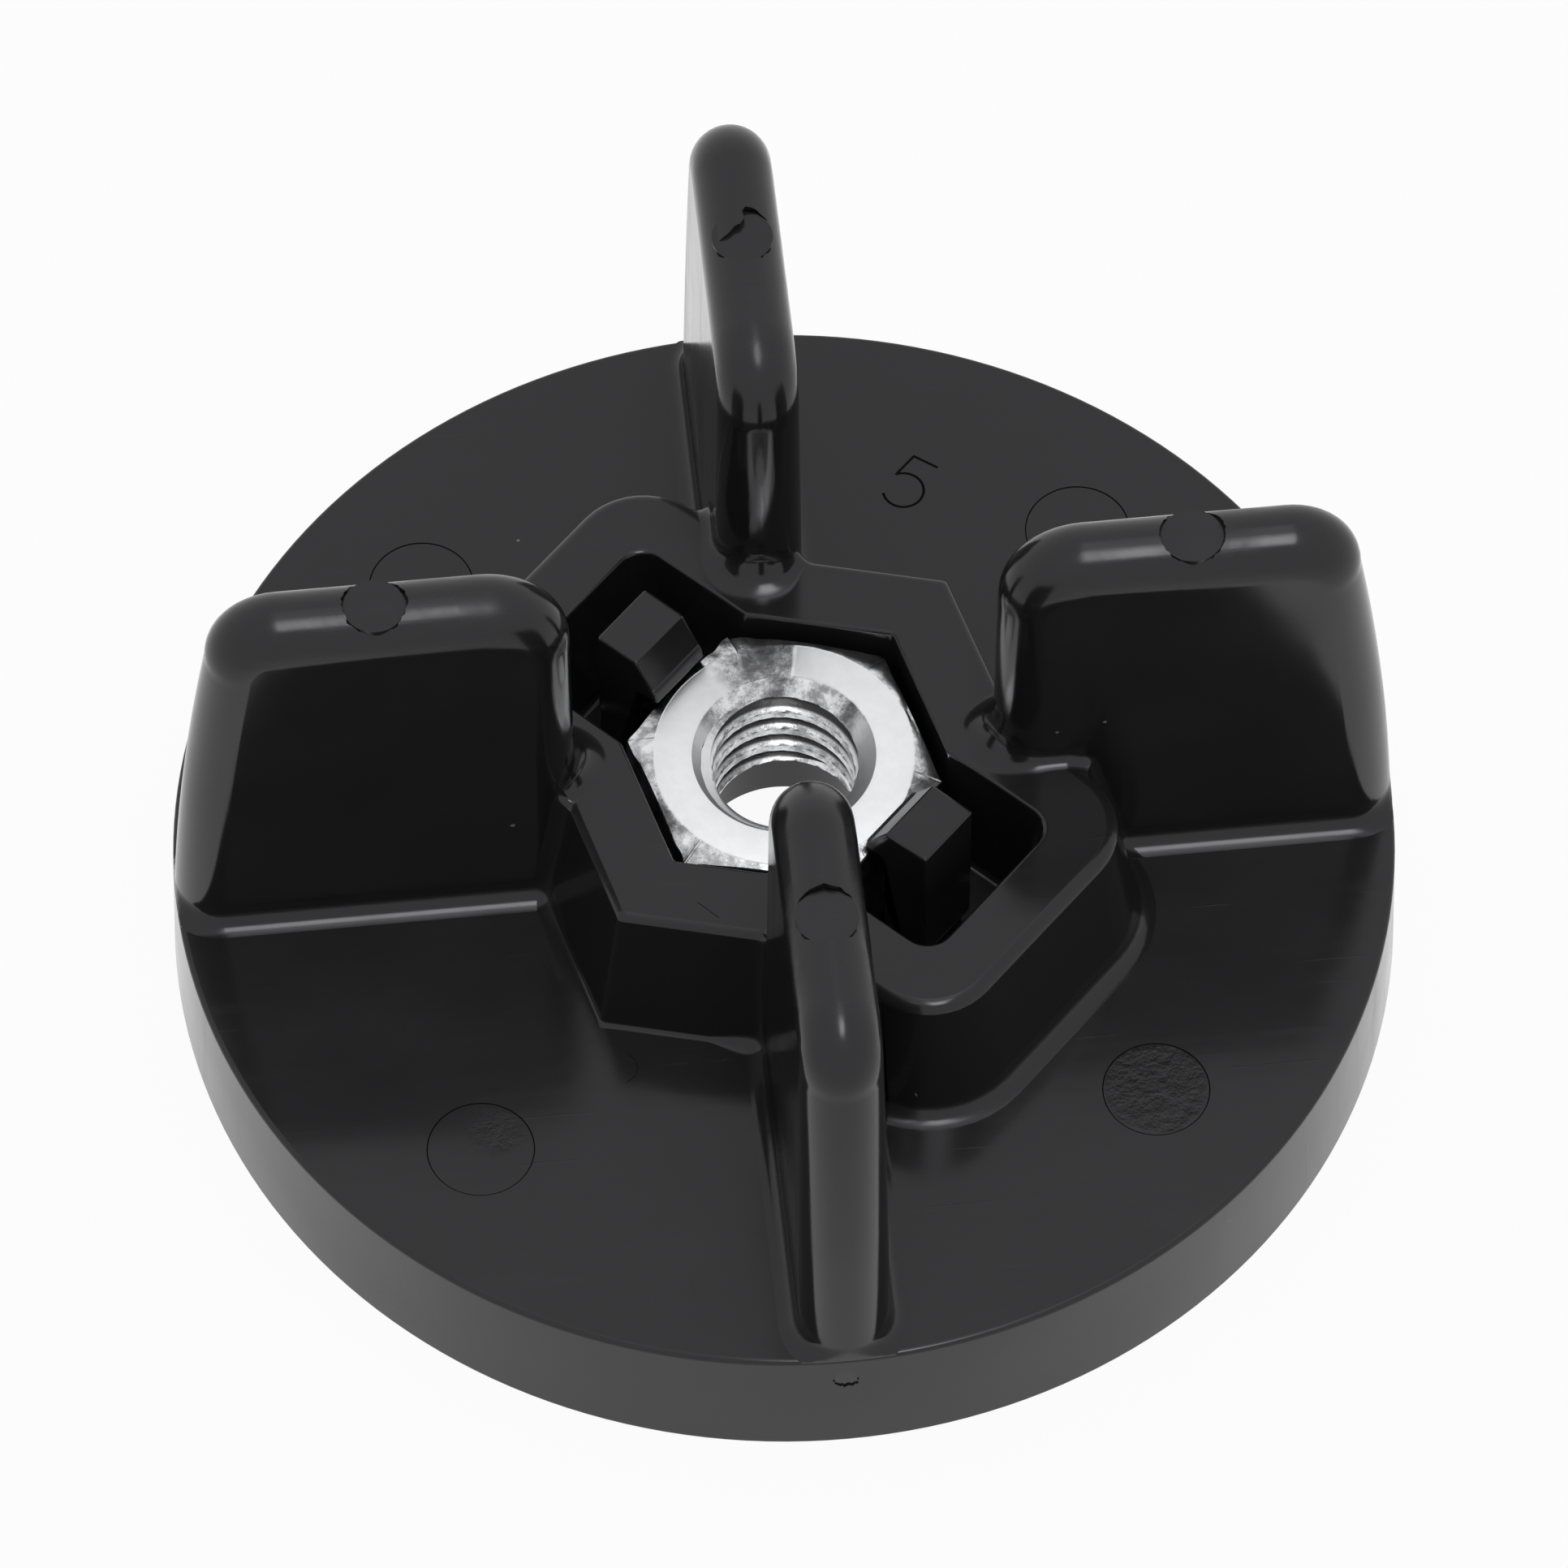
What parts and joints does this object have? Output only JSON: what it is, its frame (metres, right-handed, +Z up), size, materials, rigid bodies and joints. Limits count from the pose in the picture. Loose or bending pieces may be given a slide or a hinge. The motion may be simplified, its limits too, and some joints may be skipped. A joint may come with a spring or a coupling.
{
  "type": "wing knob",
  "caption": "Round-based hand knob with upright wings and a captive hex nut held in a socket by snap clips.",
  "frame": {"origin": "on the thread axis, at the level of the rim's bottom edge, which is the bottom centre of the whole part", "axes": "+Z up along the thread, from the rim to the tops of the wings; the wings lie along +X, +Y, -X and -Y; the clips lie on the diagonal from -X +Y to +X -Y"},
  "size_m": [0.0572, 0.0572, 0.0293],
  "materials": {
    "black_plastic": "glossy moulded black plastic, with fine scratches and ejector marks",
    "zinc_nut": "bright zinc plating with tumbling marks"
  },
  "bodies": {
    "knob": {"base_plate": "black_plastic", "rim_skirt": "black_plastic", "socket_wall_northeast": "black_plastic", "socket_wall_southwest": "black_plastic", "clip_bay_northwest": "black_plastic", "clip_bay_southeast": "black_plastic", "wing_east": "black_plastic", "wing_north": "black_plastic", "wing_west": "black_plastic", "wing_south": "black_plastic"},
    "northwest_clip": {"clip_northwest": "black_plastic"},
    "southeast_clip": {"clip_southeast": "black_plastic"},
    "nut": {"hex_nut": "zinc_nut"}
  },
  "joints": [
    {"name": "northwest_clip_flex", "type": "hinge", "parent": "knob", "child": "northwest_clip", "pos_m": [-0.00605, 0.00605, 0.00825], "axis": [-0.7071, -0.7071, 0], "range_deg": [0, 7], "stiffness_Nm_per_rad": 0.8},
    {"name": "southeast_clip_flex", "type": "hinge", "parent": "knob", "child": "southeast_clip", "pos_m": [0.00605, -0.00605, 0.00825], "axis": [0.7071, 0.7071, 0], "range_deg": [0, 7], "stiffness_Nm_per_rad": 0.8},
    {"name": "nut_play", "type": "slide", "parent": "knob", "child": "nut", "axis": [0, 0, 1], "range_m": [0, 0.0002]}
  ]
}
